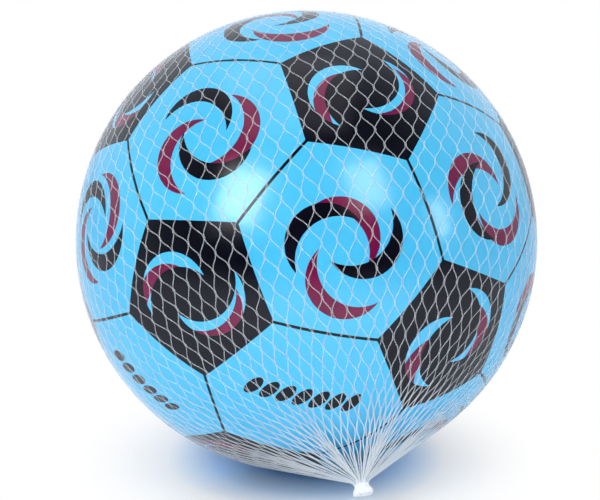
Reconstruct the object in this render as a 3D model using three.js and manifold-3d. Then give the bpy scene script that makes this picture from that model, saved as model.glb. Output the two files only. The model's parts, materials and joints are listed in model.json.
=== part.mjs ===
// Inflated rubber play ball in a net carry bag. Millimetres, +Z up, the front towards -Y.
// The origin is on the ground, straight under the middle of the ball.
import * as THREE from 'three';
import { mergeVertices } from 'three/addons/utils/BufferGeometryUtils.js';
import Module from 'manifold-3d';

const wasm = await Module();
wasm.setup();

// Driving dimensions of the ball
const ballDiameter = 220;
const skinWall = 0.8;
const seatGap = 0.3;          // between pieces that touch on the real ball

// Driving dimensions of the valve
const valveHoleDiameter = 9.4;
const valveFlangeDiameter = 20;
const valveFlangeThickness = 1.4;
const valveBarrelDiameter = 8;
const valveTipDiameter = 6.4;
const valveLength = 17;
const boreDiameter = 3.8;
const recessDepth = 1.3;
const recessRim = 0.9;        // rubber left around the plug's head
const plugHeadThickness = 1;
const plugShankLength = 12;
const plugTipDiameter = 2.2;
const plugTipLength = 2.5;
const valveHeading = 216;     // degrees from the front, turning towards +X
const valveRise = 11;         // degrees above the level of the ball's middle

// Driving dimensions of the net
const netColumns = 20;
const linkLength = 26.2;      // middle to middle of two joints that a strand links
const strandWidth = 2;
const strandThickness = 1;
const netClearance = 0.5;     // to the ball, at each joint
const netTilt = 40;           // degrees between the net's front end and straight down
const netHeading = 18.4;      // degrees of that end from the front, turning towards +X
const neckDiameter = 7.2;
const neckReach = 10.6;       // from the ball's surface to the foot of the neck
const neckLength = 1.4;
const sealDiameter = 9.2;
const sealLength = 4.6;
const sealShoulder = 1.1;     // height of the slopes at the seal's two ends
const restingFlatDepth = 0.5; // pressed off the strands that the ball stands on

// Fineness of the round surfaces
const skinSegments = 48;
const smallSegments = 24;
const legStep = 14;           // longest straight run of a strand that lies on the ball

const ballRadius = ballDiameter / 2;
const innerRadius = ballRadius - skinWall;
const netRadius = ballRadius + netClearance;
const neckRadius = neckDiameter / 2;
const sealRadius = sealDiameter / 2;
const tilt = THREE.MathUtils.degToRad(netTilt);
const pitch = 2 * Math.PI / netColumns;
const columnNumbers = Array.from({ length: netColumns }, (unused, column) => column);

// Solids from closed meshes, and back

function toSolid(geometry) {
  const bare = geometry.clone();
  bare.deleteAttribute('normal');
  bare.deleteAttribute('uv');
  const merged = mergeVertices(bare, 1e-4);
  const vertProperties = new Float32Array(merged.attributes.position.array);
  const triVerts = new Uint32Array(merged.index.array);
  return new wasm.Manifold(new wasm.Mesh({ numProp: 3, vertProperties, triVerts }));
}

function toGeometry(solid) {
  const mesh = solid.getMesh();
  const geometry = new THREE.BufferGeometry();
  geometry.setAttribute('position', new THREE.BufferAttribute(mesh.vertProperties, 3));
  geometry.setIndex(new THREE.BufferAttribute(mesh.triVerts, 1));
  geometry.computeVertexNormals();
  return geometry;
}

// Turns a profile of [radius, height] points about +Z. The points climb on the outer side.
function turned(profile, segments) {
  const points = profile.map(([radius, height]) => new THREE.Vector2(radius, height));
  return new THREE.LatheGeometry(points, segments).rotateX(Math.PI / 2);
}

// Height of a sphere's surface above its centre, at a distance from the axis
function sphereHeight(radius, fromAxis) {
  return Math.sqrt(radius ** 2 - fromAxis ** 2);
}

// Points of an arc about the centre, from one angle below the +Z pole to another
function arcPoints(radius, fromAngle, toAngle, steps) {
  const points = [];
  for (let step = 0; step <= steps; step += 1) {
    const angle = THREE.MathUtils.lerp(fromAngle, toAngle, step / steps);
    const onAxis = angle >= Math.PI;
    points.push([onAxis ? 0 : radius * Math.sin(angle), radius * Math.cos(angle)]);
  }
  return points;
}

// The skin is a hollow ball with the valve's hole at its +Z pole.

function ballSkin() {
  const holeRadius = valveHoleDiameter / 2;
  const rings = skinSegments / 2;
  const outside = arcPoints(ballRadius, Math.PI, 0, rings);
  const holeAngle = Math.asin(holeRadius / innerRadius);
  const inside = arcPoints(innerRadius, Math.PI, holeAngle, rings);
  const aboveBall = ballRadius + skinWall;
  inside.push([holeRadius, aboveBall], [0, aboveBall]);
  const skin = toSolid(turned(outside, skinSegments));
  return toGeometry(skin.subtract(toSolid(turned(inside, skinSegments))));
}

// The valve stands in the skin's hole, with its flange against the inside of the skin.

const valveFace = sphereHeight(ballRadius, valveHoleDiameter / 2);
const valveNeckRadius = valveHoleDiameter / 2 - seatGap;
const recessRadius = valveNeckRadius - recessRim;
const recessFloor = valveFace - recessDepth;

function valveBody() {
  const boreRadius = boreDiameter / 2;
  const barrelRadius = valveBarrelDiameter / 2;
  const flangeRadius = valveFlangeDiameter / 2;
  const underSkin = innerRadius - seatGap;
  const flangeTop = sphereHeight(underSkin, valveNeckRadius);
  const flangeMiddle = (valveNeckRadius + flangeRadius) / 2;
  const rimTop = sphereHeight(underSkin, flangeRadius);
  const rimBottom = rimTop - valveFlangeThickness / 2;
  const flangeBottom = flangeTop - 2 * valveFlangeThickness;
  const barrelEnd = valveFace - valveLength;
  return turned([
    [boreRadius, barrelEnd],
    [valveTipDiameter / 2, barrelEnd],
    [barrelRadius, flangeBottom],
    [flangeRadius, rimBottom],
    [flangeRadius, rimTop],
    [flangeMiddle, sphereHeight(underSkin, flangeMiddle)],
    [valveNeckRadius, flangeTop],
    [valveNeckRadius, valveFace],
    [recessRadius, valveFace],
    [recessRadius, recessFloor],
    [boreRadius, recessFloor],
    [boreRadius, barrelEnd],
  ], smallSegments);
}

// The plug fills the valve's bore and its head lies in the recess, level with the skin.
function valvePlug() {
  const headRadius = recessRadius - seatGap;
  const shankRadius = boreDiameter / 2 - seatGap;
  const headBottom = valveFace - plugHeadThickness;
  const shankEnd = headBottom - plugShankLength;
  return turned([
    [0, shankEnd],
    [plugTipDiameter / 2, shankEnd],
    [shankRadius, shankEnd + plugTipLength],
    [shankRadius, headBottom],
    [headRadius, headBottom],
    [headRadius, valveFace],
    [0, valveFace],
  ], smallSegments);
}

// The net's inner outline follows the ball, leaves it on a tangent and runs straight to the neck.
// It is measured along a meridian: 0 is the net's equator, and the front end is positive.

const neckFoot = ballRadius + neckReach;
const neckBearing = Math.atan2(neckRadius, neckFoot);
const leaveAngle = neckBearing + Math.acos(netRadius / Math.hypot(neckRadius, neckFoot));
const leaveArc = netRadius * (Math.PI / 2 - leaveAngle);
const mergeRadius = netColumns * strandWidth / (2 * Math.PI);

function meridian(arc) {
  const side = Math.sign(arc) || 1;
  const onBall = Math.min(Math.abs(arc), leaveArc);
  const beyond = Math.abs(arc) - onBall;
  const latitude = onBall / netRadius;
  const across = Math.cos(latitude);
  const along = Math.sin(latitude);
  return {
    radius: netRadius * across - beyond * along,
    height: side * (netRadius * along + beyond * across),
    across,
    along: side * along,
  };
}

// The distance along the meridian at which the straight part has a given radius
function arcAtRadius(radius) {
  return leaveArc + (netRadius * Math.sin(leaveAngle) - radius) / Math.cos(leaveAngle);
}

function netPoint(arc, turn, lift) {
  const place = meridian(arc);
  const radius = place.radius + lift * place.across;
  const height = place.height + lift * place.along;
  return new THREE.Vector3(radius * Math.cos(turn), radius * Math.sin(turn), height);
}

// Every link has the same length, so the rows of joints draw apart where the columns close in.
function halfSpacing(fromArc, toArc) {
  return meridian((fromArc + toArc) / 2).radius * pitch / 2;
}

function nextRow(arc, side) {
  let step = linkLength;
  for (let pass = 0; pass < 4; pass += 1) {
    step = Math.sqrt(linkLength ** 2 - halfSpacing(arc, arc + side * step) ** 2);
  }
  return arc + side * step;
}

// Row 0 runs under the ball, with the middle of a gap at the lowest point.
const baseArc = netRadius * (Math.PI / 2 - tilt);

function rowsOfJoints() {
  const lastArc = leaveArc - strandWidth / 2;
  const rows = [{ number: 0, arc: baseArc }];
  for (const side of [1, -1]) {
    let number = side;
    for (let arc = nextRow(baseArc, side); Math.abs(arc) < lastArc; arc = nextRow(arc, side)) {
      rows.push({ number, arc });
      number += side;
    }
  }
  return rows.sort((one, other) => one.number - other.number);
}

const rows = rowsOfJoints();

// Every second row stands half a pitch further round.
function isShifted(row) {
  return 1 - Math.abs(row.number) % 2;
}

function jointTurn(row, column) {
  return (column + isShifted(row) / 2) * pitch;
}

// Column of the joint that a strand reaches in the next row towards the front
function linkedColumn(row, column, turnedRight) {
  return (column + isShifted(row) - (turnedRight ? 0 : 1) + netColumns) % netColumns;
}

function gapBetween(row, next) {
  return { half: halfSpacing(row.arc, next.arc), step: Math.abs(next.arc - row.arc) };
}

// The ball stands on the four strands round the gap under it, which are pressed flat there.
function standingDistance() {
  const { half, step } = gapBetween({ arc: baseArc }, { arc: nextRow(baseArc, 1) });
  const strandFromMiddle = half * step / linkLength;
  return sphereHeight(netRadius + strandThickness, strandFromMiddle) - restingFlatDepth;
}

const restingDistance = standingDistance();

// A net's flat pattern is drawn with spots and polygons, and both its faces come from it.
class Pattern {
  spots = [];
  polygons = [];
  closed = new Set();

  spot(arc, turn, rightward = 0, forward = 0) {
    const place = arc + forward;
    this.spots.push({ arc: place, turn: turn + rightward / meridian(place).radius });
    return this.spots.length - 1;
  }

  polygon(...corners) {
    this.polygons.push(corners);
  }

  // The pattern's edges that border a gap, as pairs of spots
  openEdges() {
    const edges = new Map();
    for (const corners of this.polygons) {
      corners.forEach((start, index) => {
        const end = corners[(index + 1) % corners.length];
        edges.set(`${start} ${end}`, [start, end]);
      });
    }
    const bordersGap = ([start, end]) => !edges.has(`${end} ${start}`)
      && !(this.closed.has(start) && this.closed.has(end));
    return [...edges.values()].filter(bordersGap);
  }
}

// The four corners of the patch where strands meet, which keep the strands' edges straight
function addJoint(pattern, row, column, gaps) {
  const turn = jointTurn(row, column);
  const lean = (gap) => Math.atan2(gap.half, gap.step);
  const steepest = Math.min(...gaps.map(lean));
  const halfWidth = strandWidth / 2 / Math.cos(steepest);
  const [behind, ahead] = gaps.map((gap) => strandWidth / 2 / Math.sin(lean(gap)));
  return {
    east: pattern.spot(row.arc, turn, halfWidth, 0),
    north: pattern.spot(row.arc, turn, 0, ahead),
    west: pattern.spot(row.arc, turn, -halfWidth, 0),
    south: pattern.spot(row.arc, turn, 0, -behind),
  };
}

// Adds the two spots either side of a strand's middle, left then right as seen going forward
function addStrandMiddle(pattern, row, next, turn, slope) {
  const arc = (row.arc + next.arc) / 2;
  const gap = gapBetween(row, next);
  const length = Math.hypot(gap.half, gap.step);
  const right = strandWidth / 2 * gap.step / length;
  const forward = strandWidth / 2 * gap.half / length * slope;
  return [
    pattern.spot(arc, turn, -right, forward),
    pattern.spot(arc, turn, right, -forward),
  ];
}

function addLinks(pattern, row, next, joints, nextJoints) {
  joints.forEach((from, column) => {
    const turn = jointTurn(row, column);
    const [left, right] = addStrandMiddle(pattern, row, next, turn + pitch / 4, 1);
    const rightward = nextJoints[linkedColumn(row, column, true)];
    pattern.polygon(from.east, right, left, from.north);
    pattern.polygon(right, rightward.south, rightward.west, left);
    const [left2, right2] = addStrandMiddle(pattern, row, next, turn - pitch / 4, -1);
    const leftward = nextJoints[linkedColumn(row, column, false)];
    pattern.polygon(from.north, right2, left2, from.west);
    pattern.polygon(right2, leftward.east, leftward.south, left2);
  });
}

// Past the last joints each column goes on as one leg, and the legs run together near the neck.
function addLegs(pattern, row, joints, side) {
  const facing = (corners) => (side > 0 ? corners : corners.reverse());
  const onBall = leaveArc - Math.abs(row.arc);
  const steps = Math.ceil(onBall / legStep);
  const mergeArc = side * arcAtRadius(mergeRadius);
  const merged = columnNumbers.map((column) => {
    return pattern.spot(mergeArc, jointTurn(row, column + 0.5));
  });
  merged.forEach((spot) => pattern.closed.add(spot));
  joints.forEach((joint, column) => {
    const turn = jointTurn(row, column);
    let left = joint.west;
    let right = joint.east;
    for (let step = 1; step <= steps; step += 1) {
      const arc = side * (Math.abs(row.arc) + onBall * step / steps);
      const nextLeft = pattern.spot(arc, turn, -strandWidth / 2);
      const nextRight = pattern.spot(arc, turn, strandWidth / 2);
      pattern.polygon(...facing([left, right, nextRight, nextLeft]));
      left = nextLeft;
      right = nextRight;
    }
    const before = merged[(column + netColumns - 1) % netColumns];
    pattern.polygon(...facing([left, right, merged[column], before]));
  });
  return merged;
}

// Both faces, the strands' side walls and the two solid ends of the net, as one closed mesh
function netGeometry() {
  const pattern = new Pattern();
  const lastRow = rows.length - 1;
  const joints = rows.map((row, index) => {
    const behind = gapBetween(row, rows[Math.max(index - 1, 0)]);
    const ahead = gapBetween(row, rows[Math.min(index + 1, lastRow)]);
    const gaps = [index > 0 ? behind : ahead, index < lastRow ? ahead : behind];
    return columnNumbers.map((column) => addJoint(pattern, row, column, gaps));
  });
  rows.slice(0, lastRow).forEach((row, index) => {
    addLinks(pattern, row, rows[index + 1], joints[index], joints[index + 1]);
  });
  joints.forEach((line, index) => line.forEach(({ east, north, west, south }) => {
    if (index > 0 && index < lastRow) pattern.polygon(east, north, west, south);
    if (index === 0) pattern.polygon(east, north, west);
    if (index === lastRow) pattern.polygon(east, west, south);
  }));
  const merged = {
    front: addLegs(pattern, rows[lastRow], joints[lastRow], 1),
    rear: addLegs(pattern, rows[0], joints[0], -1),
  };

  const points = [];
  const triangles = [];
  const addPoint = (point) => points.push(point) - 1;
  const inner = pattern.spots.map(({ arc, turn }) => addPoint(netPoint(arc, turn, 0)));
  const outer = pattern.spots.map(({ arc, turn }) => {
    return addPoint(netPoint(arc, turn, strandThickness));
  });
  const addFan = ([first, ...rest]) => {
    rest.slice(1).forEach((corner, index) => triangles.push(first, rest[index], corner));
  };
  for (const corners of pattern.polygons) {
    addFan(corners.map((corner) => outer[corner]));
    addFan(corners.map((corner) => inner[corner]).reverse());
  }
  for (const [start, end] of pattern.openEdges()) {
    addFan([outer[end], outer[start], inner[start], inner[end]]);
  }
  addEnd(1, merged.front, { inner, outer, addPoint, addFan });
  addEnd(-1, merged.rear, { inner, outer, addPoint, addFan });

  const geometry = new THREE.BufferGeometry().setFromPoints(points);
  geometry.setIndex(triangles);
  return geometry;
}

// Where the straight part's outer face reaches the neck's radius
const footArc = arcAtRadius(neckRadius - strandThickness * Math.sin(leaveAngle));
const footHeight = netPoint(footArc, 0, strandThickness).z;
const neckEnd = footHeight + neckLength;

// The cone past the merged legs, and the neck that stands on it
function addEnd(side, merged, { inner, outer, addPoint, addFan }) {
  const facing = (corners) => (side > 0 ? corners : corners.reverse());
  const ring = (radius, height) => merged.map((spot, column) => {
    const turn = (column + 0.5) * pitch + endTurn(side);
    const point = new THREE.Vector3(radius * Math.cos(turn), radius * Math.sin(turn), height);
    return addPoint(point);
  });
  const foot = ring(neckRadius, side * footHeight);
  const top = ring(neckRadius, side * neckEnd);
  const middle = addPoint(new THREE.Vector3(0, 0, side * neckEnd));
  const apex = addPoint(netPoint(side * arcAtRadius(0), 0, 0));
  merged.forEach((spot, column) => {
    const next = (column + 1) % netColumns;
    const nextSpot = merged[next];
    addFan(facing([outer[spot], outer[nextSpot], foot[next], foot[column]]));
    addFan(facing([foot[column], foot[next], top[next], top[column]]));
    addFan(facing([top[column], top[next], middle]));
    addFan(facing([apex, inner[nextSpot], inner[spot]]));
  });
}

// The turn of column 0 in the row that an end's legs start from
function endTurn(side) {
  return jointTurn(side > 0 ? rows[rows.length - 1] : rows[0], 0);
}

// The strands under the ball are pressed flat where it stands on them.
function netSleeve() {
  const slab = new THREE.BoxGeometry(ballRadius, ballRadius, ballRadius);
  slab.translate(0, 0, restingDistance + ballRadius / 2);
  slab.rotateY(tilt);
  return toGeometry(toSolid(netGeometry()).subtract(toSolid(slab)));
}

// The strands are melted together past the neck into a flared lump.
function endSeal(side) {
  const start = neckEnd + seatGap;
  const end = start + sealLength;
  const seal = turned([
    [0, start],
    [neckRadius, start],
    [sealRadius, start + sealShoulder],
    [sealRadius, end - sealShoulder],
    [neckRadius, end],
    [0, end],
  ], smallSegments);
  return side > 0 ? seal : seal.rotateX(Math.PI);
}

// The net is drawn with its front end at +Z, and then turned to point down and forward.
const netPose = new THREE.Euler(
  0,
  Math.PI - tilt,
  THREE.MathUtils.degToRad(netHeading) - Math.PI / 2,
  'ZYX',
);

// The valve lies in the middle of the net's cell that is nearest to where it is wanted,
// so that the plug can be drawn out between the strands.
function valveDirection() {
  const heading = THREE.MathUtils.degToRad(valveHeading);
  const rise = THREE.MathUtils.degToRad(valveRise);
  const wanted = new THREE.Vector3(
    Math.sin(heading) * Math.cos(rise),
    -Math.cos(heading) * Math.cos(rise),
    Math.sin(rise),
  );
  const middles = rows.slice(1, -1).flatMap((row) => {
    return columnNumbers.map((column) => {
      return netPoint(row.arc, jointTurn(row, column + 0.5), 0).normalize().applyEuler(netPose);
    });
  });
  return middles.reduce((best, next) => (next.dot(wanted) > best.dot(wanted) ? next : best));
}

// Finishes
const blueSkin = { color: 0x4bb9f2, roughness: 0.22, metalness: 0 };
const blueValve = { color: 0x3f9fd8, roughness: 0.45, metalness: 0 };
const whitePlug = { color: 0xe9eef2, roughness: 0.5, metalness: 0 };
const clearNet = { color: 0xeef4fb, roughness: 0.3, metalness: 0 };

function piece(name, geometry, finish) {
  const mesh = new THREE.Mesh(geometry, new THREE.MeshStandardMaterial(finish));
  mesh.name = name;
  return mesh;
}

const towardsValve = new THREE.Group();
towardsValve.quaternion.setFromUnitVectors(new THREE.Vector3(0, 0, 1), valveDirection());
towardsValve.add(
  piece('ball_skin', ballSkin(), blueSkin),
  piece('valve_body', valveBody(), blueValve),
  piece('valve_plug', valvePlug(), whitePlug),
);

const alongNet = new THREE.Group();
alongNet.rotation.copy(netPose);
alongNet.add(
  piece('net_sleeve', netSleeve(), clearNet),
  piece('front_seal', endSeal(1), clearNet),
  piece('rear_seal', endSeal(-1), clearNet),
);

const middleOfBall = new THREE.Group();
middleOfBall.position.z = restingDistance;
middleOfBall.add(towardsValve, alongNet);

const playBall = new THREE.Group();
playBall.add(middleOfBall);

export default playBall;
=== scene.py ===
import itertools
import json
import math

import bmesh
import bpy
import numpy as np
from mathutils import Matrix, Vector
from mathutils.geometry import delaunay_2d_cdt


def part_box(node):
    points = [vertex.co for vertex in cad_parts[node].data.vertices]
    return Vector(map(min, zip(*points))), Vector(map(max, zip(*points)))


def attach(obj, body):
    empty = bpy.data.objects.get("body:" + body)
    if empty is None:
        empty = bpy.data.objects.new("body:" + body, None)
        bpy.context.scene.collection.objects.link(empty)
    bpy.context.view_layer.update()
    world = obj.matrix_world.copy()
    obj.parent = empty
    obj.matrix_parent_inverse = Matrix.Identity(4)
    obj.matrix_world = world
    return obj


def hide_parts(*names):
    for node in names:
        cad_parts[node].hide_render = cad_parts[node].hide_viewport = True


# A printed rubber play ball in a clear net bag. Lengths are in metres and +Z is up.

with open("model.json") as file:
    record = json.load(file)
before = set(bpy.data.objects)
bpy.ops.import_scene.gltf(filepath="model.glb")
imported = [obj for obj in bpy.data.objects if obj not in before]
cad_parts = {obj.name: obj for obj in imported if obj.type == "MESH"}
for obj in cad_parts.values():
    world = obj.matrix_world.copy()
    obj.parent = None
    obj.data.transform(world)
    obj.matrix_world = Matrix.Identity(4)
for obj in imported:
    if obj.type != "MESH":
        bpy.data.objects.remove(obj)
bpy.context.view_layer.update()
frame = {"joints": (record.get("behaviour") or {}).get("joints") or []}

mm = 0.001
turn_round = 2 * math.pi


def unit(vectors):
    return vectors / np.linalg.norm(vectors, axis=-1, keepdims=True)


def middle_of(node):
    low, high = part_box(node)
    return np.array((low + high) / 2)


def smooth_step(t):
    t = np.clip(t, 0, 1)
    return t * t * (3 - 2 * t)


# Sizes and axes that the pieces share
ball_radius = 110 * mm
skin_wall = 0.8 * mm
ball_centre = middle_of("ball_skin")
valve_axis = unit(np.array(frame["joints"][0]["axis"]))
net_axis = unit(middle_of("front_seal") - ball_centre)
seal_middle = np.linalg.norm(middle_of("front_seal") - ball_centre)

# Camera, at the photo's viewing angle
camera_distance = 7 * ball_radius
camera_rise = math.radians(15)
picture_size = (600, 500)
ball_pixel = (306.5, 241)     # where the ball's middle appears
ball_pixel_radius = 230
sensor_width = 36
view_axes = np.array([
    (1, 0, 0),
    (0, math.sin(camera_rise), math.cos(camera_rise)),
    (0, -math.cos(camera_rise), math.sin(camera_rise)),
]).T


def from_view(right, up, toward):
    """A direction in the scene from one that is given to the right, up and towards the viewer."""
    return unit(view_axes @ np.array((right, up, toward)))


def add_camera():
    data = bpy.data.cameras.new("camera")
    camera = bpy.data.objects.new("camera", data)
    bpy.context.scene.collection.objects.link(camera)
    focal_pixels = ball_pixel_radius * math.sqrt((camera_distance / ball_radius) ** 2 - 1)
    data.sensor_width = sensor_width
    data.lens = sensor_width * focal_pixels / picture_size[0]
    data.shift_x = (picture_size[0] / 2 - ball_pixel[0]) / picture_size[0]
    data.shift_y = (ball_pixel[1] - picture_size[1] / 2) / picture_size[0]
    data.clip_start = 0.01
    camera.location = Vector(ball_centre + camera_distance * view_axes[:, 2])
    camera.rotation_euler = (math.pi / 2 - camera_rise, 0, 0)
    bpy.context.scene.camera = camera


# Node helpers

def new_material(name):
    material = bpy.data.materials.new(name)
    material.use_nodes = True
    nodes, links = material.node_tree.nodes, material.node_tree.links
    return material, nodes, links, nodes["Principled BSDF"]


def noise(nodes, links, scale, detail=3):
    """Noise in the piece's own metres."""
    place = nodes.new("ShaderNodeTexCoord")
    texture = nodes.new("ShaderNodeTexNoise")
    texture.inputs["Scale"].default_value = scale
    texture.inputs["Detail"].default_value = detail
    links.new(place.outputs["Object"], texture.inputs["Vector"])
    return texture.outputs["Fac"]


def ranged(nodes, links, value, low, high):
    """Spreads a noise over a range."""
    node = nodes.new("ShaderNodeMapRange")
    node.inputs["From Min"].default_value = 0.3
    node.inputs["From Max"].default_value = 0.7
    node.inputs["To Min"].default_value = low
    node.inputs["To Max"].default_value = high
    links.new(value, node.inputs["Value"])
    return node.outputs["Result"]


def spread(nodes, links, value, reach, low=0, high=1):
    """Goes softly from one number to another between two distances."""
    node = nodes.new("ShaderNodeMapRange")
    node.interpolation_type = "SMOOTHSTEP"
    node.inputs["From Min"].default_value = reach[0]
    node.inputs["From Max"].default_value = reach[1]
    node.inputs["To Min"].default_value = low
    node.inputs["To Max"].default_value = high
    links.new(value, node.inputs["Value"])
    return node.outputs["Result"]


def between(nodes, links, value, first, second):
    """A colour between two, chosen by a noise."""
    ramp = nodes.new("ShaderNodeValToRGB")
    ramp.color_ramp.elements[0].position = 0.3
    ramp.color_ramp.elements[0].color = (*first, 1)
    ramp.color_ramp.elements[1].position = 0.7
    ramp.color_ramp.elements[1].color = (*second, 1)
    links.new(value, ramp.inputs["Fac"])
    return ramp.outputs["Color"]


def add_bump(nodes, links, shader, height, distance, strength):
    bump = nodes.new("ShaderNodeBump")
    bump.inputs["Distance"].default_value = distance
    bump.inputs["Strength"].default_value = strength
    links.new(height, bump.inputs["Height"])
    links.new(bump.outputs["Normal"], shader.inputs["Normal"])


# Materials

bloom_colour = (0.84, 0.83, 0.90)
bloom_weight = 0.85
bloom_roughness = 0.2
vinyl_ior = 1.52
net_ior = 1.6
rub_scale = 55               # scales of noise, per metre
peel_scale = 420
milk_scale = 90
cloud_scale = 180
grain_scale = 2600
peel_height = 0.1 * mm       # depths and strengths of bumps
peel_strength = 0.12
streak_height = 0.1 * mm
streak_strength = 0.35
grain_height = 0.05 * mm
grain_strength = 0.3
clouding_reach = (88 * mm, seal_middle)      # along the net's axis
loose_cover = 0.22           # share that the net hides of what is behind it
gathered_cover = 0.85


def ball_material(name, first, second, rough_low, rough_high, blotch, gloss):
    """Glossy vinyl or the ink on it: soft blotches, faint orange peel and a bloom that veils its edge."""
    material, nodes, links, shader = new_material(name)
    blotches = noise(nodes, links, blotch, detail=5)
    links.new(between(nodes, links, blotches, first, second), shader.inputs["Base Color"])
    rub = noise(nodes, links, rub_scale, detail=6)
    links.new(ranged(nodes, links, rub, rough_low, rough_high), shader.inputs["Roughness"])
    shader.inputs["IOR"].default_value = vinyl_ior
    shader.inputs["Specular IOR Level"].default_value = gloss
    shader.inputs["Sheen Weight"].default_value = bloom_weight
    shader.inputs["Sheen Roughness"].default_value = bloom_roughness
    shader.inputs["Sheen Tint"].default_value = (*bloom_colour, 1)
    add_bump(nodes, links, shader, noise(nodes, links, peel_scale, detail=2), peel_height, peel_strength)
    return material


def milky_plastic(name, first, second, rough_low, rough_high, grain):
    """Milky, glossy plastic with fine streaks."""
    material, nodes, links, shader = new_material(name)
    clouds = noise(nodes, links, milk_scale, detail=4)
    links.new(between(nodes, links, clouds, first, second), shader.inputs["Base Color"])
    streaks = noise(nodes, links, grain, detail=3)
    links.new(ranged(nodes, links, streaks, rough_low, rough_high), shader.inputs["Roughness"])
    shader.inputs["IOR"].default_value = net_ior
    add_bump(nodes, links, shader, streaks, streak_height, streak_strength)
    return material


def cloud_over(material, reach, least, most):
    """Makes a plastic half clear. It hides more and more of what is behind it towards the net's ends."""
    nodes, links = material.node_tree.nodes, material.node_tree.links
    place = nodes.new("ShaderNodeTexCoord")
    from_middle = nodes.new("ShaderNodeVectorMath")
    from_middle.operation = "SUBTRACT"
    from_middle.inputs[1].default_value = tuple(ball_centre)
    along = nodes.new("ShaderNodeVectorMath")
    along.operation = "DOT_PRODUCT"
    along.inputs[1].default_value = tuple(net_axis)
    size = nodes.new("ShaderNodeMath")
    size.operation = "ABSOLUTE"
    links.new(place.outputs["Object"], from_middle.inputs[0])
    links.new(from_middle.outputs["Vector"], along.inputs[0])
    links.new(along.outputs["Value"], size.inputs[0])
    cover = spread(nodes, links, size.outputs["Value"], reach, least, most)
    links.new(cover, nodes["Principled BSDF"].inputs["Alpha"])


def moulded_plastic(name, first, second, rough_low, rough_high):
    """Satin moulded plastic or rubber with a fine matt grain."""
    material, nodes, links, shader = new_material(name)
    clouds = noise(nodes, links, cloud_scale, detail=4)
    links.new(between(nodes, links, clouds, first, second), shader.inputs["Base Color"])
    grain = noise(nodes, links, grain_scale, detail=2)
    links.new(ranged(nodes, links, grain, rough_low, rough_high), shader.inputs["Roughness"])
    add_bump(nodes, links, shader, grain, grain_height, grain_strength)
    return material


blue_vinyl = ball_material("blue_vinyl", (0.060, 0.496, 0.820), (0.072, 0.530, 0.850), 0.16, 0.24, 24, 0.5)
black_ink = ball_material("black_ink", (0.001, 0.001, 0.005), (0.003, 0.003, 0.010), 0.16, 0.24, 60, 0.24)
maroon_ink = ball_material("maroon_ink", (0.140, 0.002, 0.042), (0.190, 0.006, 0.062), 0.16, 0.24, 110, 0.36)
inks = {"blue": blue_vinyl, "black": black_ink, "maroon": maroon_ink}
ink_names = list(inks)
net_plastic = milky_plastic("net_plastic", (0.85, 0.93, 1.0), (0.94, 0.98, 1.0), 0.10, 0.24, 1500)
cloud_over(net_plastic, clouding_reach, loose_cover, gathered_cover)
melted_plastic = milky_plastic("melted_plastic", (0.92, 0.95, 0.99), (0.98, 0.99, 1.0), 0.18, 0.42, 700)
valve_rubber = moulded_plastic("valve_rubber", (0.050, 0.330, 0.640), (0.070, 0.400, 0.740), 0.42, 0.58)
plug_plastic = moulded_plastic("plug_plastic", (0.74, 0.78, 0.82), (0.84, 0.87, 0.90), 0.36, 0.50)


# Mesh helpers

def add_piece(name, points, faces, materials, body, nodes):
    """A mesh that rides on a body, takes a finish and hides the CAD nodes that it stands in for."""
    mesh = bpy.data.meshes.new(name)
    mesh.from_pydata(np.asarray(points).tolist(), [], faces)
    mesh.validate()
    mesh.polygons.foreach_set("use_smooth", [True] * len(mesh.polygons))
    piece = bpy.data.objects.new(name, mesh)
    bpy.context.scene.collection.objects.link(piece)
    for material in materials:
        mesh.materials.append(material)
    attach(piece, body)
    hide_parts(*nodes)
    return piece


def side_axes(axis, near):
    """Two directions square to an axis, the first as near as possible to a given one."""
    first = unit(near - (near @ axis) * axis)
    return first, np.cross(axis, first)


def rounded(corners, radius, closed, steps=5):
    """Takes the sharp corners off a profile."""
    corners = [np.array(corner, float) for corner in corners]
    count = len(corners)
    points = []
    for i, corner in enumerate(corners):
        if not closed and i in (0, count - 1):
            points.append(corner)
            continue
        before, after = corners[i - 1] - corner, corners[(i + 1) % count] - corner
        reach = min(radius, np.linalg.norm(before) / 2, np.linalg.norm(after) / 2)
        start, end = corner + unit(before) * reach, corner + unit(after) * reach
        for t in np.linspace(0, 1, steps):
            points.append((1 - t) ** 2 * start + 2 * t * (1 - t) * corner + t * t * end)
    return points


def turned_mesh(profile, axis, segments, closed, shape=None):
    """Points and faces of a profile of (radius, height) turned round an axis through the ball's middle."""
    first, second = side_axes(axis, view_axes[:, 1])
    turns = np.arange(segments) * turn_round / segments
    points, rings = [], []
    for radius, height in profile:
        if radius < 1e-9:
            rings.append([len(points)])
            points.append(ball_centre + height * axis)
            continue
        rings.append(list(range(len(points), len(points) + segments)))
        for turn in turns:
            swell, lift = shape(turn, radius, height) if shape else (0, 0)
            across = (radius + swell) * (math.cos(turn) * first + math.sin(turn) * second)
            points.append(ball_centre + (height + lift) * axis + across)
    faces = []
    pairs = list(zip(rings, rings[1:])) + ([(rings[-1], rings[0])] if closed else [])
    for low, high in pairs:
        for i in range(segments):
            j = (i + 1) % segments
            if len(low) == 1:
                faces.append((low[0], high[j], high[i]))
            elif len(high) == 1:
                faces.append((low[i], low[j], high[0]))
            else:
                faces.append((low[i], low[j], high[j], high[i]))
    return points, faces


def face_outwards(piece):
    work = bmesh.new()
    work.from_mesh(piece.data)
    bmesh.ops.recalc_face_normals(work, faces=work.faces)
    work.to_mesh(piece.data)
    work.free()


# The print: pentagons and hexagons as on a football, each with a pinwheel of crescents

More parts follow.
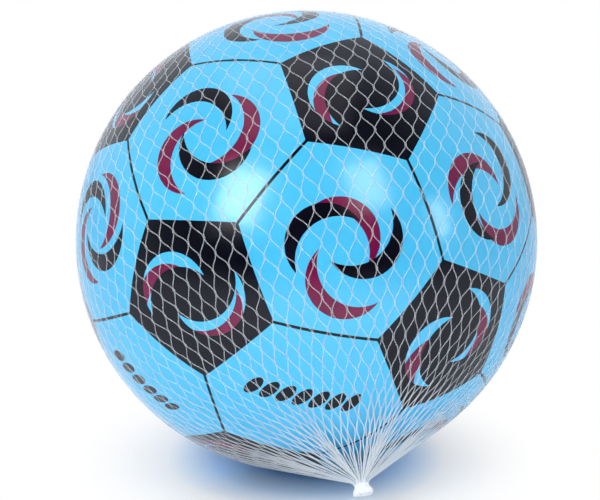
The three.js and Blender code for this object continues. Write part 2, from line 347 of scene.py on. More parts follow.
golden = (1 + math.sqrt(5)) / 2
print_turn = Vector((-0.2865, -0.9786, -1.6708))        # right, up and towards the viewer
second_print_turn = Vector((0.0638, -0.0055, -0.0232))  # how far the maroon print is out of line
side_steps = 10
seam_half_width = 0.68 * mm
mesh_step = 4.4 * mm
least_gap = 1.2 * mm

# A crescent lies between two circles. The pinwheel's pairs differ in where their middles are.
crescent_half_length = 17.4 * mm
outer_shift = 2.16 * mm
inner_shift = 6.93 * mm
outline_step = 1.3 * mm
hexagon_black = {"along": 7.25 * mm, "out": 2.1 * mm}
hexagon_maroon = {"along": 7.1 * mm, "out": 3.5 * mm}
pentagon_window = {"along": 6.5 * mm, "out": 3.05 * mm}
pentagon_maroon = {"along": 7.65 * mm, "out": 1.86 * mm}
hexagon_swirl_turn = math.radians(50)
hexagon_maroon_turn = math.radians(-81.2)
pentagon_maroon_turn = math.radians(-7.4)
pentagon_swirl_turn = math.radians(70)

# Panels with a swirl that is turned or slid in its own way. Slides are turns in view axes.
own_swirl_turns = {(0,): math.radians(40), (2, 4, 6): math.radians(117), (1, 3, 7): math.radians(164)}
own_swirl_slides = {(2, 4, 6): Vector((-0.055, 0.045, 0))}
own_maroon_slides = {(0,): Vector((-0.03, 0.015, 0)), (8,): Vector((-0.066, 0.0055, 0.024))}

# The print slid over the ball round this pentagon, by a turn in view axes.
slid_pentagon = 8
slide_turn = (-0.115, 0, -0.115)
slide_reach = 0.75

# Rows of plain ovals stand on two hexagons in place of a swirl.
oval_rows = {(1, 2, 8): {"middle": (1 * mm, 6.5 * mm), "slope": math.radians(-30), "count": 7},
             (2, 4, 8): {"middle": (4 * mm, 4 * mm), "slope": math.radians(-96), "count": 6}}
oval_pitch = 7.4 * mm
oval_half_width = 2.9 * mm
oval_half_height = 6.2 * mm
oval_lean = math.radians(28)
oval_steps = 18

valve_hole_radius = 4.7 * mm
hole_steps = 48


def turning(vector):
    """The turn about a direction in view axes, as a matrix of the scene."""
    matrix = np.array(Matrix.Rotation(vector.length, 3, vector))
    return view_axes @ matrix @ view_axes.T


second_print = turning(second_print_turn)


def pentagon_directions():
    corners = []
    for one, two in itertools.product((1, -1), repeat=2):
        corners += [(0, one, two * golden), (one, two * golden, 0), (two * golden, 0, one)]
    return unit(np.array(corners)) @ (turning(print_turn) @ view_axes).T


pentagons = pentagon_directions()


def are_neighbours(a, b):
    return a != b and pentagons[a] @ pentagons[b] > 0.4


class Panel:
    """The flat map of one pentagon or hexagon, on the plane that touches the ball at its middle."""

    def __init__(self, members, toward, corners):
        self.members = members
        self.middle = unit(pentagons[list(members)].sum(0))
        self.first, self.second = side_axes(self.middle, pentagons[toward])
        turns = [math.atan2(corner @ self.second, corner @ self.first) for corner, kind in corners]
        order = np.argsort(turns)
        self.corners = [corners[i][0] for i in order]
        self.corner_kinds = [corners[i][1] for i in order]

    def to_map(self, directions):
        depth = directions @ self.middle
        across = np.stack([directions @ self.first, directions @ self.second], -1)
        return ball_radius * across / depth[..., None]

    def to_ball(self, points):
        points = np.asarray(points)
        across = points[..., :1] * self.first + points[..., 1:] * self.second
        return unit(ball_radius * self.middle + across)

    def is_seam(self, i):
        """A side between two hexagons, which has a black line along it."""
        first, second = self.corner_kinds[i], self.corner_kinds[(i + 1) % len(self.corners)]
        return len(self.members) == 3 and first != second


def panel_corner(a, b):
    return unit(2 * pentagons[a] + pentagons[b])


def make_panels():
    numbers = range(len(pentagons))
    panels = []
    for a in numbers:
        around = [b for b in numbers if are_neighbours(a, b)]
        toward = 1 if a == 0 else around[0]
        panels.append(Panel((a,), toward, [(panel_corner(a, b), a) for b in around]))
    for trio in itertools.combinations(numbers, 3):
        if all(are_neighbours(a, b) for a, b in itertools.combinations(trio, 2)):
            corners = [(panel_corner(a, b), a) for a, b in itertools.permutations(trio, 2)]
            panels.append(Panel(trio, trio[0], corners))
    return panels


def side_points(start, end):
    """Points along a panel's side, the same from both of its panels, with one close to each corner."""
    angle = math.acos(np.clip(start @ end, -1, 1))
    near = seam_half_width / math.cos(math.pi / 6) / ball_radius / angle
    shares = [0, near, *np.linspace(0, 1, side_steps + 1)[1:-1], 1 - near]
    rest = unit(end - (end @ start) * start)
    return np.array([math.cos(s * angle) * start + math.sin(s * angle) * rest for s in shares])


def crescent_circles(angle, pair, which):
    """Middle, bulge direction and length direction of one crescent of a pair."""
    turn = angle + math.pi * which
    bulge = np.array((math.cos(turn), math.sin(turn)))
    length = np.array((-bulge[1], bulge[0]))
    return pair["along"] * length + pair["out"] * bulge, bulge, length


outer_radius = math.hypot(crescent_half_length, outer_shift)
inner_radius = math.hypot(crescent_half_length, inner_shift)


def crescent_outline(angle, pair, which):
    middle, bulge, length = crescent_circles(angle, pair, which)
    outer_end = math.atan2(crescent_half_length, -outer_shift)
    inner_end = math.atan2(crescent_half_length, inner_shift)
    points = []
    for shift, radius, end, way in ((outer_shift, outer_radius, outer_end, 1),
                                    (-inner_shift, inner_radius, inner_end, -1)):
        steps = round(2 * end * radius / outline_step)
        for t in np.linspace(-end, end, steps, endpoint=False):
            spoke = math.cos(way * t) * bulge + math.sin(way * t) * length
            points.append(middle + shift * bulge + radius * spoke)
    return np.array(points)


def in_crescents(points, angle, pair):
    found = np.zeros(len(points), bool)
    for which in (0, 1):
        middle, bulge, length = crescent_circles(angle, pair, which)
        in_outer = np.linalg.norm(points - middle - outer_shift * bulge, axis=1) < outer_radius
        in_inner = np.linalg.norm(points - middle + inner_shift * bulge, axis=1) < inner_radius
        found |= in_outer & ~in_inner
    return found


def oval_middles(row):
    along = np.array((math.cos(row["slope"]), math.sin(row["slope"])))
    offsets = (np.arange(row["count"]) - (row["count"] - 1) / 2) * oval_pitch
    return np.array(row["middle"]) + offsets[:, None] * along


def oval_axes(row):
    turn = row["slope"] + math.pi / 2 - oval_lean
    tall = np.array((math.cos(turn), math.sin(turn)))
    return np.array((tall[1], -tall[0])), tall


def oval_outline(row, middle):
    wide, tall = oval_axes(row)
    turns = np.arange(oval_steps) * turn_round / oval_steps
    return (middle + oval_half_width * np.cos(turns)[:, None] * wide
            + oval_half_height * np.sin(turns)[:, None] * tall)


def in_ovals(points, row):
    wide, tall = oval_axes(row)
    found = np.zeros(len(points), bool)
    for middle in oval_middles(row):
        away = points - middle
        share = (away @ wide / oval_half_width) ** 2 + (away @ tall / oval_half_height) ** 2
        found |= share < 1
    return found


def hole_outline():
    """The hole for the valve, as directions from the ball's middle."""
    first, second = side_axes(valve_axis, view_axes[:, 1])
    angle = math.asin(valve_hole_radius / ball_radius)
    turns = np.arange(hole_steps) * turn_round / hole_steps
    rim = np.cos(turns)[:, None] * first + np.sin(turns)[:, None] * second
    return math.cos(angle) * valve_axis + math.sin(angle) * rim


def swirl_layers(panel):
    """The angle and pair of a panel's two printed layers: what is in line, and the maroon one."""
    if len(panel.members) == 3:
        first = own_swirl_turns.get(panel.members, hexagon_swirl_turn)
        return (first, hexagon_black), (first + hexagon_maroon_turn, hexagon_maroon)
    first = own_swirl_turns.get(panel.members, pentagon_swirl_turn)
    return (first, pentagon_window), (first + pentagon_maroon_turn, pentagon_maroon)


def slide_of(panel, slides):
    return turning(slides[panel.members]) if panel.members in slides else np.eye(3)


def layer_turns(panel):
    """How far the same two layers are turned on the ball."""
    own = slide_of(panel, own_swirl_slides)
    return own, slide_of(panel, own_maroon_slides) @ second_print @ own


def seam_lines(panel, border):
    """The inner edges of the black lines along a panel's seams, from one border point to another."""
    per_side = len(border) // len(panel.corners)
    lines = []
    for i in range(len(panel.corners)):
        if panel.is_seam(i):
            start = border[i * per_side - 1]
            end = border[((i + 1) * per_side + 1) % len(border)]
            steps = round(np.linalg.norm(end - start) / mesh_step)
            lines.append(np.linspace(start, end, steps + 1))
    return lines


def panel_drawing(panel):
    """The closed outlines and open lines on a panel's map."""
    count = len(panel.corners)
    border = panel.to_map(np.concatenate([
        side_points(panel.corners[i], panel.corners[(i + 1) % count]) for i in range(count)]))
    outlines = [border]
    if panel.members in oval_rows:
        row = oval_rows[panel.members]
        outlines += [oval_outline(row, middle) for middle in oval_middles(row)]
    else:
        for layer, turn in zip(swirl_layers(panel), layer_turns(panel)):
            for which in (0, 1):
                outline = crescent_outline(*layer, which)
                outlines.append(panel.to_map(panel.to_ball(outline) @ turn.T))
    if holds_valve(panel):
        outlines.append(panel.to_map(hole_outline()))
    return outlines, seam_lines(panel, border)


def holds_valve(panel):
    return panel.middle @ valve_axis > 0.995


def grid_points(border, drawn):
    """An even grid inside a panel, clear of everything drawn."""
    reach = np.abs(border).max()
    rows = np.arange(-reach, reach, mesh_step * math.sqrt(3) / 2)
    points = []
    for number, y in enumerate(rows):
        start = -reach + (number % 2) * mesh_step / 2
        points += [(x, y) for x in np.arange(start, reach, mesh_step)]
    points = np.array(points)
    for start, end in zip(border, np.roll(border, -1, axis=0)):
        side = end - start
        if np.linalg.norm(side) > mesh_step / 4:
            inward = np.array((-side[1], side[0])) / np.linalg.norm(side)
            points = points[(points - start) @ inward > least_gap]
    gaps = np.linalg.norm(points[:, None] - drawn[None], axis=2).min(axis=1)
    return points[gaps > least_gap]


def panel_triangles(panel):
    """Triangles of a panel's map that no drawn line crosses, as map points and corner numbers."""
    outlines, lines = panel_drawing(panel)
    points, edges = [], []
    for outline in outlines:
        start, count = len(points), len(outline)
        points += list(outline)
        edges += [(start + i, start + (i + 1) % count) for i in range(count)]
    for line in lines:
        start, count = len(points), len(line)
        points += list(line)
        edges += [(start + i, start + i + 1) for i in range(count - 1)]
    points += list(grid_points(outlines[0], np.array(points)))
    points = np.array(points)
    scale = 1 / mm
    found, _, faces, originals, _, _ = delaunay_2d_cdt(
        [Vector(point * scale) for point in points], edges, [], 1, 1e-4)
    exact = [points[own[0]] if own else np.array(point) / scale for own, point in zip(originals, found)]
    return np.array(exact), np.array(faces), lines


def face_inks(panel, middles, lines):
    """The ink on each triangle, from its middle's place on the map."""
    black, maroon, blue = (ink_names.index(name) for name in ("black", "maroon", "blue"))
    if panel.members in oval_rows:
        inks_found = np.where(in_ovals(middles, oval_rows[panel.members]), black, blue)
    else:
        in_first, in_maroon = (
            in_crescents(panel.to_map(panel.to_ball(middles) @ turn), *layer)
            for layer, turn in zip(swirl_layers(panel), layer_turns(panel)))
        unprinted = np.where(in_maroon, maroon, blue)
        if len(panel.members) == 3:
            inks_found = np.where(in_first, black, unprinted)
        else:
            inks_found = np.where(in_first, unprinted, black)
    for line in lines:
        along, away = line[-1] - line[0], middles - line[0]
        outside = along[0] * away[:, 1] - along[1] * away[:, 0] < 0
        inks_found[outside] = black
    return inks_found


def weld(directions, faces):
    """Joins points that lie together."""
    keys = np.round(directions * 1e7).astype(np.int64)
    _, first, inverse = np.unique(keys, axis=0, return_index=True, return_inverse=True)
    return directions[first], inverse.reshape(-1)[faces]


def slid(directions):
    """Moves the print over the ball where it slid."""
    away = np.arccos(np.clip(directions @ pentagons[slid_pentagon], -1, 1))
    share = 1 - smooth_step(away / slide_reach)
    return unit(directions + share[:, None] * np.cross(view_axes @ np.array(slide_turn), directions))


def border_edges(faces):
    """Edges that only one face has, each in its face's own direction."""
    edges = {(a, b) for face in faces for a, b in zip(face, np.roll(face, -1))}
    return [(a, b) for a, b in edges if (b, a) not in edges]


atlas_cells = 6
atlas_half_cell = 52 * mm


def atlas_place(points, cell):
    """A map's place in the atlas of all panels."""
    corner = np.array((cell % atlas_cells, cell // atlas_cells))
    return (corner + 0.5 + points / (2 * atlas_half_cell)) / atlas_cells


def shade_as_ball(mesh, directions, faces, borders):
    """The shading follows the true ball, and the wall of the hole is square to it."""
    outward = directions[faces].reshape(-1, 3)
    inward = -directions[faces[:, ::-1]].reshape(-1, 3)
    wall_points = directions[np.array([(b, a, a, b) for a, b in borders])]
    to_axis = valve_axis * (wall_points @ valve_axis)[..., None] - wall_points
    normals = np.concatenate([outward, inward, unit(to_axis).reshape(-1, 3)])
    mesh.normals_split_custom_set(normals.tolist())


def lay_out_for_bake(mesh, places, free_cell, wall_count):
    """The outer side's panels, then the inner side in one free cell and the hole's wall in the next."""
    inner_places = atlas_place((places[:, ::-1] * atlas_cells % 1 - 0.5) * 2 * atlas_half_cell, free_cell)
    wall_place = atlas_place(np.array([(-4, -1), (4, -1), (4, 1), (-4, 1)]) * mm, free_cell + 1)
    wall_places = np.tile(wall_place, (wall_count, 1))
    layer = mesh.uv_layers.new(name="OFBake")
    layer.data.foreach_set("uv", np.concatenate([
        places.reshape(-1), inner_places.reshape(-1), wall_places.reshape(-1)]))


def printed_ball():
    directions, faces, face_colours, corner_places = [], [], [], []
    start = 0
    panels = make_panels()
    hole_angle = math.asin(valve_hole_radius / ball_radius)
    for cell, panel in enumerate(panels):
        points, triangles, lines = panel_triangles(panel)
        middles = points[triangles].mean(axis=1)
        if holds_valve(panel):
            outside = panel.to_ball(middles) @ valve_axis < math.cos(hole_angle)
            triangles, middles = triangles[outside], middles[outside]
        directions.append(panel.to_ball(points))
        faces.append(triangles + start)
        face_colours.append(face_inks(panel, middles, lines))
        corner_places.append(atlas_place(points[triangles], cell))
        start += len(points)
    directions, faces = weld(np.concatenate(directions), np.concatenate(faces))
    used = np.unique(faces)
    renumbered = np.full(len(directions), -1)
    renumbered[used] = np.arange(len(used))
    directions, faces = slid(directions[used]), renumbered[faces]
    count = len(directions)

    inside = faces[:, ::-1] + count
    borders = border_edges(faces)
    wall = [(b, a, a + count, b + count) for a, b in borders]
    points = np.concatenate([
        ball_centre + ball_radius * directions,
        ball_centre + (ball_radius - skin_wall) * directions])
    piece = add_piece(
        "printed_ball", points, faces.tolist() + inside.tolist() + wall,
        inks.values(), "ball", ["ball_skin"])
    mesh = piece.data
    blue = ink_names.index("blue")
    colours = np.concatenate(face_colours).tolist() + [blue] * (len(inside) + len(wall))
    mesh.polygons.foreach_set("material_index", colours)
    shade_as_ball(mesh, directions, faces, borders)
    lay_out_for_bake(mesh, np.concatenate(corner_places), len(panels), len(wall))


# The valve and its plug

seat_gap = 0.3 * mm
valve_face = math.sqrt(ball_radius ** 2 - valve_hole_radius ** 2)
valve_neck_radius = valve_hole_radius - seat_gap
valve_recess_radius = valve_neck_radius - 0.9 * mm
valve_recess_floor = valve_face - 1.3 * mm
valve_bore_radius = 1.9 * mm
valve_flange_radius = 10 * mm
valve_flange_thickness = 1.4 * mm
valve_end = valve_face - 17 * mm
plug_head_radius = valve_recess_radius - seat_gap
plug_shank_radius = valve_bore_radius - seat_gap
plug_head_bottom = valve_face - 1 * mm
plug_end = plug_head_bottom - 12 * mm


def sphere_height(radius, across):
    return math.sqrt(radius ** 2 - across ** 2)


def valve():
    under_skin = ball_radius - skin_wall - seat_gap
    flange_top = sphere_height(under_skin, valve_neck_radius)
    rim_top = sphere_height(under_skin, valve_flange_radius)
    flange_middle = (valve_neck_radius + valve_flange_radius) / 2
    profile = [
        (valve_bore_radius, valve_end),
        (3.2 * mm, valve_end),
        (4 * mm, flange_top - 2 * valve_flange_thickness),
        (valve_flange_radius, rim_top - valve_flange_thickness / 2),
        (valve_flange_radius, rim_top),
        (flange_middle, sphere_height(under_skin, flange_middle)),
        (valve_neck_radius, flange_top),
        (valve_neck_radius, valve_face),
        (valve_recess_radius, valve_face),
        (valve_recess_radius, valve_recess_floor),
        (valve_bore_radius, valve_recess_floor),
    ]
    points, faces = turned_mesh(rounded(profile, 0.25 * mm, closed=True), valve_axis, 96, closed=True)
    piece = add_piece("valve", points, faces, [valve_rubber], "ball", ["valve_body"])
    face_outwards(piece)


def plug():
    """The head has a shallow dish and a rounded rim to lift it by."""
    head_top = valve_face
    dish = 0.35 * mm
    profile = [
        (0, plug_end),
        (1.1 * mm, plug_end),
        (plug_shank_radius, plug_end + 2.5 * mm),
        (plug_shank_radius, plug_head_bottom),
        (plug_head_radius, plug_head_bottom),
        (plug_head_radius, head_top),
        (plug_head_radius - 0.7 * mm, head_top),
        (plug_head_radius - 1 * mm, head_top - dish),
        (0.7 * mm, head_top - dish),
        (0.5 * mm, head_top - 0.1 * mm),
        (0, head_top - 0.1 * mm),
    ]
    points, faces = turned_mesh(rounded(profile, 0.25 * mm, closed=False), valve_axis, 96, closed=False)
    piece = add_piece("plug", points, faces, [plug_plastic], "plug", ["valve_plug"])
    face_outwards(piece)


# The net: strands that zigzag from one end to the other and are joined where they meet

strand_count = 160
half_pitch = turn_round / strand_count
link_length = 8.6 * mm
joint_share = 0.15           # of a link, at each end, where two strands run side by side
strand_width = 0.52 * mm
strand_thickness = 0.44 * mm
strand_swell = 0.15          # how much thicker a strand gets, by a share, where the ends are gathered
strand_clearance = 0.02 * mm
net_radius = ball_radius + strand_clearance + strand_thickness / 2
tube_sides = 6
link_samples = (0, 0.14, 0.26, 0.41, 0.59, 0.74, 0.86)

seal_length = 4.6 * mm
neck_length = 1.4 * mm
neck_foot = seal_middle - seal_length / 2 - seat_gap - neck_length
bundle_radius = 3.1 * mm     # of the strands' middles in the neck
strand_tail = neck_length + seat_gap + 2 * mm
corner_blend = 2.2 * mm
golden_share = golden - 1

gather_start = math.radians(38)
bundles = ((7, math.radians(2), 0.86), (19, 0.9, 0.45), (41, 2.1, 0.35))      # number, turn and strength
net_seed = 11
joint_shake_round = 0.10 * half_pitch
joint_shake_along = 0.28 * mm
valve_free_reach = 22 * mm
end_free_reach = 20 * mm
valve_clearing = 4 * mm
valve_push_reach = 0.25      # of the ball's radius
tail_samples = 12
net_pieces = 4
strand_margin = 0.05         # between two strands in the bake's map

# Slow drifts of the net, round the ball and along it: size, waves round it, waves along it and phase
drifts_round = ((0.013, 2, 1.7, 0.6), (0.009, 3, -3.1, 2), (0.005, 7, 4.3, 0), (0.0035, 11, -6.1, 1))
drifts_along = ((1.5 * mm, 1, 2.2, 1), (1.0 * mm, 3, -1.4, 0), (0.5 * mm, 8, 5, 2))


def strand_places():
    """How deep in the neck each strand ends."""
    shares = (np.arange(strand_count) * golden_share + 0.3) % 1
    return bundle_radius * np.sqrt(0.03 + 0.97 * shares)


neck_places = strand_places()[:, None]
leave_bearing = np.arctan2(neck_places, neck_foot) + np.arccos(net_radius / np.hypot(neck_foot, neck_places))
leave_arc = net_radius * (math.pi / 2 - leave_bearing)
straight_length = np.sqrt(neck_foot ** 2 + neck_places ** 2 - net_radius ** 2)
end_arc = float((leave_arc + straight_length).max())


def meridian_corner(arc):
    """Distance along and from the net's axis: over the ball, straight to the neck and along it."""
    size = np.abs(arc)
    bearing = np.minimum(size, leave_arc) / net_radius
    beyond = np.clip(size - leave_arc, 0, straight_length)
    tail = np.maximum(size - leave_arc - straight_length, 0)
    along = net_radius * np.sin(bearing) + beyond * np.cos(bearing) + tail
    away = net_radius * np.cos(bearing) - beyond * np.sin(bearing)
    return np.sign(arc) * along, away


def meridian(arc):
    """The same with its corners eased."""
    eased = [meridian_corner(arc + shift * corner_blend) for shift in (-1, -0.5, 0, 0.5, 1)]
    return np.mean(eased, axis=0)


def net_rows():
    """Arcs of the rows of joints. Row 0 runs through the valve, and links keep their length."""
    valve_arc = net_radius * (math.pi / 2 - math.acos(valve_axis @ net_axis))
    rows = {0: valve_arc}
    for way in (1, -1):
        number, arc = 0, valve_arc
        while True:
            guess = arc + way * link_length / 2
            reach = half_pitch * float(meridian(np.full((strand_count, 1), guess))[1].mean())
            arc += way * math.sqrt(link_length ** 2 - reach ** 2)
            if abs(arc) > end_arc - link_length / 2:
                break
            number += way
            rows[number] = arc
    numbers = sorted(rows)
    return np.array(numbers), np.array([rows[number] for number in numbers])


def link_ease(t):
    """From one joint's side to the next joint's, straight between soft bends."""
    t = np.clip((t - joint_share) / (1 - 2 * joint_share), 0, 1)
    return 0.5 * t + 0.5 * smooth_step(t)


def drift(drifts, turn, arc):
    along = arc / ball_radius
    return sum(size * np.sin(count * turn + pace * along + phase) for size, count, pace, phase in drifts)


def strand_samples(rows):
    """The row, the share of the link after it and the arc of each point along a strand."""
    last = len(rows) - 1
    tail = np.linspace(0, 1, tail_samples)
    end = end_arc + strand_tail
    samples = [(0, 0, arc) for arc in rows[0] + (-end - rows[0]) * tail[:0:-1]]
    for i in range(last):
        samples += [(i, t, rows[i] + t * (rows[i + 1] - rows[i])) for t in link_samples]
    samples += [(last, 0, arc) for arc in rows[last] + (end - rows[last]) * tail]
    return [np.array(column) for column in zip(*samples)]


def strand_lines():
    """The middle lines of all strands, the direction out of the net and how far they are gathered."""
    numbers, rows = net_rows()
    random = np.random.default_rng(net_seed)
    joint_turns = random.normal(0, joint_shake_round, (len(rows), strand_count))
    joint_slides = random.normal(0, joint_shake_along, (len(rows), strand_count))
    row, t, arc = strand_samples(rows)
    following = np.minimum(row + 1, len(rows) - 1)

    strand = np.arange(strand_count)[:, None]
    side = (strand + numbers[row]) % 2
    next_side = 1 - side
    share = side + (next_side - side) * link_ease(t)
    joint, next_joint = (strand + side) % strand_count, (strand + next_side) % strand_count

    def shaken(values):
        return (1 - t) * values[row, joint] + t * values[following, next_joint]

    arc = np.broadcast_to(arc, share.shape)
    away = np.maximum(meridian(arc)[1], 1e-4)
    apart = np.minimum(strand_width / 2 / (half_pitch * away), 0.5)
    place = strand + share + (1 - 2 * share) * apart
    first, second = side_axes(net_axis, view_axes[:, 1])
    valve_turn = math.atan2(valve_axis @ second, valve_axis @ first)
    turn = valve_turn + (place - 1) * half_pitch

    # Drifts and shaken joints fade out at the valve and towards the ends.
    valve_arc = rows[list(numbers).index(0)]
    round_ball = ((turn - valve_turn + math.pi) % turn_round - math.pi) * away
    from_valve = np.hypot(round_ball, arc - valve_arc)
    free = 1 - np.exp(-(from_valve / valve_free_reach) ** 2)
    on_ball = 1 - smooth_step((np.abs(arc) - leave_arc.min()) / end_free_reach)
    round_it, along_it = drift(drifts_round, turn, arc), drift(drifts_along, turn, arc)
    turn = turn + free * (round_it + on_ball * shaken(joint_turns))
    arc = arc + free * on_ball * (along_it + shaken(joint_slides))

    # Towards each end the strands gather in bundles.
    ungathered = math.pi / 2 - gather_start
    gather = smooth_step((np.abs(arc) / net_radius - ungathered) / (end_arc / net_radius - ungathered))
    for count, phase, strength in bundles:
        turn = turn - gather * strength / count * np.sin(count * (turn - phase))

    along, away = meridian(arc)
    spoke = np.cos(turn)[..., None] * first + np.sin(turn)[..., None] * second
    points = along[..., None] * net_axis + away[..., None] * spoke
    points = clear_of_valve(points)
    outward = unit(points * (1 - gather[..., None]) + gather[..., None] * ball_radius * spoke)
    return ball_centre + points, outward, gather


def clear_of_valve(points):
    """Pushes the strands round the valve aside, over the ball."""
    size = np.linalg.norm(points, axis=-1, keepdims=True)
    direction = points / size
    cosine = direction @ valve_axis
    across = direction - cosine[..., None] * valve_axis
    reach = np.linalg.norm(across, axis=-1)
    near = (reach < valve_push_reach) & (cosine > 0)
    wider = (reach ** 3 + (valve_clearing / ball_radius) ** 3) ** (1 / 3)
    pushed = (across / np.maximum(reach, 1e-9)[..., None] * wider[..., None]
              + np.sqrt(1 - np.minimum(wider, 0.9) ** 2)[..., None] * valve_axis)
    return np.where(near[..., None], pushed * size, points)


def tube_rings(lines, outward, gather):
    """Flattened rings round each line, their flat side to the ball."""
    along = unit(np.gradient(lines, axis=1))
    across = unit(np.cross(along, outward))
    out = np.cross(across, along)
    turns = (np.arange(tube_sides) + 0.5) * turn_round / tube_sides
    swell = (1 + strand_swell * gather)[:, :, None, None]
    wide = np.cos(turns)[:, None] * strand_width / 2 * across[:, :, None]
    thick = np.sin(turns)[:, None] * strand_thickness / 2 * out[:, :, None]
    return lines[:, :, None] + swell * (wide + thick)


def net():
    rings = tube_rings(*strand_lines())
    count = rings.shape[1]
    per_piece = strand_count // net_pieces
    ring, side = np.meshgrid(np.arange(count - 1), np.arange(tube_sides), indexing="ij")
    next_side = (side + 1) % tube_sides
    here, beyond = ring * tube_sides, (ring + 1) * tube_sides
    quads = np.stack([here + side, here + next_side, beyond + next_side, beyond + side], -1).reshape(-1, 4)
    u = np.stack([ring, ring, ring + 1, ring + 1], -1).reshape(-1, 4) / (count - 1)
    v = np.stack([side, side + 1, side + 1, side], -1).reshape(-1, 4) / tube_sides
    for number in range(net_pieces):
        own = rings[number * per_piece:(number + 1) * per_piece]
        faces, places = [], []
        for strand in range(per_piece):
            start = strand * count * tube_sides
            faces += (quads + start).tolist()
            across = (strand + strand_margin + (1 - 2 * strand_margin) * v) / per_piece
            places.append(np.stack([u, across], -1).reshape(-1, 2))
        piece = add_piece(
            f"net_strands_{number + 1}", own.reshape(-1, 3), faces,
            [net_plastic], "ball", ["net_sleeve"])
        layer = piece.data.uv_layers.new(name="OFBake")
        layer.data.foreach_set("uv", np.concatenate(places).reshape(-1))


# The melted ends of the net

seal_overlap = 1.2 * mm      # how far the lump reaches down between the strands
seal_radius = 4.6 * mm
seal_rounding = 0.9 * mm


def melted_end(name, node, side):
    """A flared lump of strands that ran together, with ridges where they were."""
    start, end = seal_middle - seal_length / 2 - seal_overlap, seal_middle + seal_length / 2
    profile = [(0, start), (2.9 * mm, start), (3.3 * mm, start + 0.8 * mm), (3.5 * mm, start + 2 * mm),
               (4.0 * mm, start + 3 * mm), (4.5 * mm, end - 2 * mm), (4.4 * mm, end - 0.7 * mm),
               (3.7 * mm, end - 0.1 * mm), (2.2 * mm, end - 0.25 * mm), (0, end - 0.4 * mm)]
    fine = rounded(profile, seal_rounding, closed=False, steps=6)

    def shape(turn, radius, height):
        share = radius / seal_radius
        rise = (height - start) / (end - start)
        ridges = 0.14 * math.sin(17 * turn + 3 * rise) + 0.09 * math.sin(29 * turn - 4 * rise + side)
        lumps = 0.22 * math.sin(2 * turn + 4 * rise + side) + 0.16 * math.sin(5 * turn - 3 * rise)
        lift = 0.16 * math.sin(3 * turn + 1) + 0.12 * math.sin(8 * turn + 2 + side)
        return share * (ridges + lumps * rise - 0.1) * mm, share * rise * (lift - 0.2) * mm

    points, faces = turned_mesh(fine, side * net_axis, 120, closed=False, shape=shape)
    piece = add_piece(name, points, faces, [melted_plastic], "ball", [node])
    face_outwards(piece)


# Floor, lights and surroundings

floor_size = 12
floor_cells = 24
paper_scale = 3
paper_roughness = (0.4, 0.5)
paper_gloss = 0.3
floor_white = (0.93, 0.95, 0.985)
painted_floor_shade = (0.54, 0.74, 1.0)      # painted shade: the blue light of the ball's shadow, painted into the floor's colour
painted_shade_reach = (15 * mm, 100 * mm)
white_reach = (22 * mm, 121 * mm)


def add_floor():
    """A plain pale floor with a painted blue shadow round the ball's foot, that turns white away from the
    ball.
    """
    work = bmesh.new()
    bmesh.ops.create_grid(work, x_segments=floor_cells, y_segments=floor_cells, size=floor_size / 2)
    mesh = bpy.data.meshes.new("floor")
    work.to_mesh(mesh)
    work.free()
    floor = bpy.data.objects.new("floor", mesh)
    bpy.context.scene.collection.objects.link(floor)
    material, nodes, links, shader = new_material("floor_paper")
    place = nodes.new("ShaderNodeTexCoord")
    reach = nodes.new("ShaderNodeVectorMath")
    reach.operation = "LENGTH"
    links.new(place.outputs["Object"], reach.inputs[0])
    # Painted shade: near the ball the floor's colour goes from white to the blue of the ball's shadow.
    beyond_painted_shade = spread(nodes, links, reach.outputs["Value"], painted_shade_reach)
    links.new(between(nodes, links, beyond_painted_shade, painted_floor_shade, floor_white), shader.inputs["Base Color"])
    paper = noise(nodes, links, paper_scale, detail=2)
    links.new(ranged(nodes, links, paper, *paper_roughness), shader.inputs["Roughness"])
    shader.inputs["Specular IOR Level"].default_value = paper_gloss
    fade = spread(nodes, links, reach.outputs["Value"], white_reach)
    light_path = nodes.new("ShaderNodeLightPath")
    seen = nodes.new("ShaderNodeMath")
    seen.operation = "MULTIPLY"
    links.new(fade, seen.inputs[0])
    links.new(light_path.outputs["Is Camera Ray"], seen.inputs[1])
    white = nodes.new("ShaderNodeEmission")
    # The white that the camera sees also starts from the painted blue shadow near the ball.
    links.new(between(nodes, links, beyond_painted_shade, painted_floor_shade, (1, 1, 1)), white.inputs["Color"])
    mix = nodes.new("ShaderNodeMixShader")
    links.new(seen.outputs["Value"], mix.inputs["Fac"])
    links.new(shader.outputs["BSDF"], mix.inputs[1])
    links.new(white.outputs["Emission"], mix.inputs[2])
    links.new(mix.outputs["Shader"], nodes["Material Output"].inputs["Surface"])
    mesh.materials.append(material)


def softbox(name, place, back, width, height, radiance):
    """A soft area light, with the direction behind it. Its power follows from its area and radiance."""
    data = bpy.data.lights.new(name, "AREA")
    data.shape = "RECTANGLE"
    data.size = width
    data.size_y = height
    data.energy = math.pi * width * height * radiance
    lamp = bpy.data.objects.new(name, data)
    bpy.context.scene.collection.objects.link(lamp)
    lamp.location = Vector(place)
    lamp.rotation_euler = Vector(back).to_track_quat("Z", "Y").to_euler()
    lamp.visible_camera = False


def softbox_at_ball(name, direction, distance, width, height, radiance):
    softbox(name, ball_centre + distance * direction, direction, width, height, radiance)


tent_colour = (0.86, 0.92, 1.0)
tent_front = (0, 0.1, 1)
tent_fade = (-0.35, 0.65)
tent_strengths = (1.06, 0.05)        # behind and in front


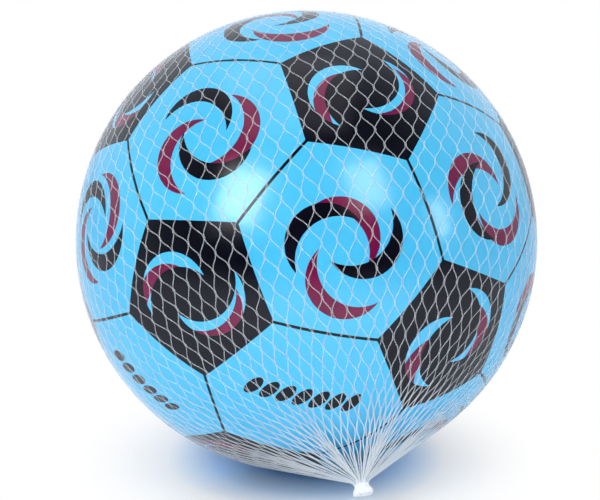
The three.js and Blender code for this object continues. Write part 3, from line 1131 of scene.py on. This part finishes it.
def add_world():
    """A light tent, pale all round but dim on the viewer's side, and white as a background."""
    world = bpy.data.worlds.new("tent")
    bpy.context.scene.world = world
    world.use_nodes = True
    nodes, links = world.node_tree.nodes, world.node_tree.links
    background = nodes["Background"]
    place = nodes.new("ShaderNodeTexCoord")
    facing = nodes.new("ShaderNodeVectorMath")
    facing.operation = "DOT_PRODUCT"
    facing.inputs[1].default_value = tuple(from_view(*tent_front))
    links.new(place.outputs["Generated"], facing.inputs[0])
    dimmed = spread(nodes, links, facing.outputs["Value"], tent_fade, *tent_strengths)
    links.new(dimmed, background.inputs["Strength"])
    background.inputs["Color"].default_value = (*tent_colour, 1)
    white = nodes.new("ShaderNodeBackground")
    white.inputs["Color"].default_value = (1, 1, 1, 1)
    light_path = nodes.new("ShaderNodeLightPath")
    mix = nodes.new("ShaderNodeMixShader")
    links.new(light_path.outputs["Is Camera Ray"], mix.inputs["Fac"])
    links.new(background.outputs["Background"], mix.inputs[1])
    links.new(white.outputs["Background"], mix.inputs[2])
    links.new(mix.outputs["Shader"], nodes["World Output"].inputs["Surface"])


# Soft lights that face the ball: direction, distance, width, height and radiance
ball_lights = {
    "left_softbox": (from_view(-0.485, 0.335, 0.807), 1.1, 0.38, 0.48, 11),
    "right_softbox": (from_view(0.445, 0.418, 0.792), 1.1, 0.32, 0.40, 7),
    "side_softbox": (from_view(0.887, 0.153, 0.437), 1.0, 0.12, 0.24, 9),
    "top_softbox": (np.array((-0.1, 0, 1)), 1.4, 1.2, 1.2, 1.1),
}

# The light on the floor before the ball: place, direction behind it, width, height and radiance
floor_light = ((0.06, -0.42, 0.12), (0, 0, 1), 0.8, 0.4, 0.55)


def add_lights():
    for name, values in ball_lights.items():
        softbox_at_ball(name, *values)
    softbox("floor_light", *floor_light)


add_camera()
printed_ball()
valve()
plug()
net()
melted_end("front_melted_end", "front_seal", 1)
melted_end("rear_melted_end", "rear_seal", -1)
add_floor()
add_world()
add_lights()
bpy.context.scene.view_settings.view_transform = "Standard"
